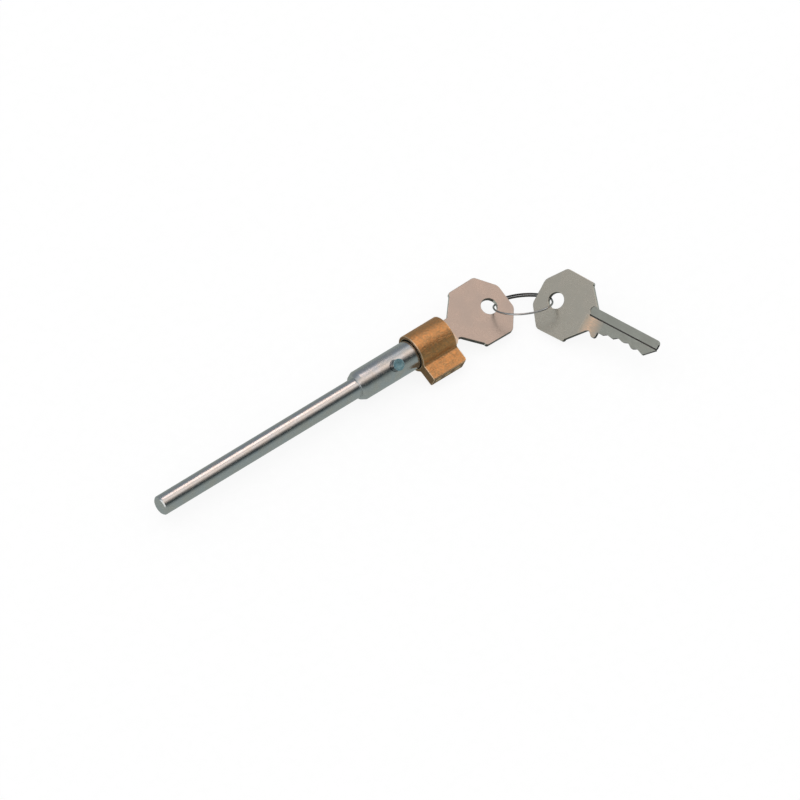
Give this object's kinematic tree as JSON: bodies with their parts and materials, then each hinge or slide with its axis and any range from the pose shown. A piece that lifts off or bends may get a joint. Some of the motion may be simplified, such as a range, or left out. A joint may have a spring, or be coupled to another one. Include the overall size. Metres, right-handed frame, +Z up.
{
  "type": "hitch pin lock",
  "caption": "Stepped steel hitch pin turned by a small brass eared pin-tumbler lock, with a key in it and a spare key on a split ring.",
  "frame": {"origin": "centre of the steel pin's free end face", "axes": "+X along the pin's axis from the free end towards the lock; +Z up with the lock lying on its housing's round flank and the corner of its ear; the ear points to -Y and 21.4 degrees below level"},
  "size_m": [0.198, 0.0739, 0.0182],
  "materials": {
    "zinc_steel": "bright zinc plate over turned steel",
    "stud_steel": "blue-tinted zinc plate",
    "brass": "rough drawn brass, machined edges",
    "pin_steel": "turned steel",
    "spring_steel": "bright spring wire",
    "key_nickel_warm": "satin nickel plate, warm",
    "key_nickel_grey": "satin nickel plate, grey"
  },
  "bodies": {
    "housing": {"lock_housing": "brass", "driver_spring_1": "spring_steel", "driver_spring_2": "spring_steel", "driver_spring_3": "spring_steel", "chamber_cap_1": "brass", "chamber_cap_2": "brass", "chamber_cap_3": "brass"},
    "driver_1": {"driver_pin_1": "pin_steel"},
    "driver_2": {"driver_pin_2": "pin_steel"},
    "driver_3": {"driver_pin_3": "pin_steel"},
    "pin_shaft": {"steel_pin": "zinc_steel", "lock_plug": "brass", "locking_stud": "stud_steel", "key_pin_1": "brass", "key_pin_2": "brass", "key_pin_3": "brass"},
    "key": {"key_in_lock": "key_nickel_warm"},
    "ring": {"split_ring": "spring_steel"},
    "spare": {"spare_key": "key_nickel_grey"}
  },
  "joints": [
    {"name": "lock_turn", "type": "hinge", "parent": "housing", "child": "pin_shaft", "pos_m": [0.132, 0, 0], "axis": [1, 0, 0], "range_deg": [0, 70]},
    {"name": "key_withdraw", "type": "slide", "parent": "pin_shaft", "child": "key", "axis": [1, 0, 0], "range_m": [0, 0.027]},
    {"name": "ring_swing", "type": "hinge", "parent": "key", "child": "ring", "pos_m": [0.16381, -0.00094, -0.00037], "axis": [0.5286, 0.6932, -0.4899], "range_deg": [-75, 75]},
    {"name": "spare_swing", "type": "hinge", "parent": "ring", "child": "spare", "pos_m": [0.18238, -0.01409, 0.00106], "axis": [0.5286, 0.6932, -0.4899], "range_deg": [-75, 75]},
    {"name": "driver_lift_1", "type": "slide", "parent": "housing", "child": "driver_1", "axis": [0, -0.9311, -0.3649], "range_m": [0, 0.002], "stiffness_N_per_m": 100, "deforming": ["driver_spring_1"]},
    {"name": "driver_lift_2", "type": "slide", "parent": "housing", "child": "driver_2", "axis": [0, -0.9311, -0.3649], "range_m": [0, 0.002], "stiffness_N_per_m": 100, "deforming": ["driver_spring_2"]},
    {"name": "driver_lift_3", "type": "slide", "parent": "housing", "child": "driver_3", "axis": [0, -0.9311, -0.3649], "range_m": [0, 0.002], "stiffness_N_per_m": 100, "deforming": ["driver_spring_3"]}
  ]
}
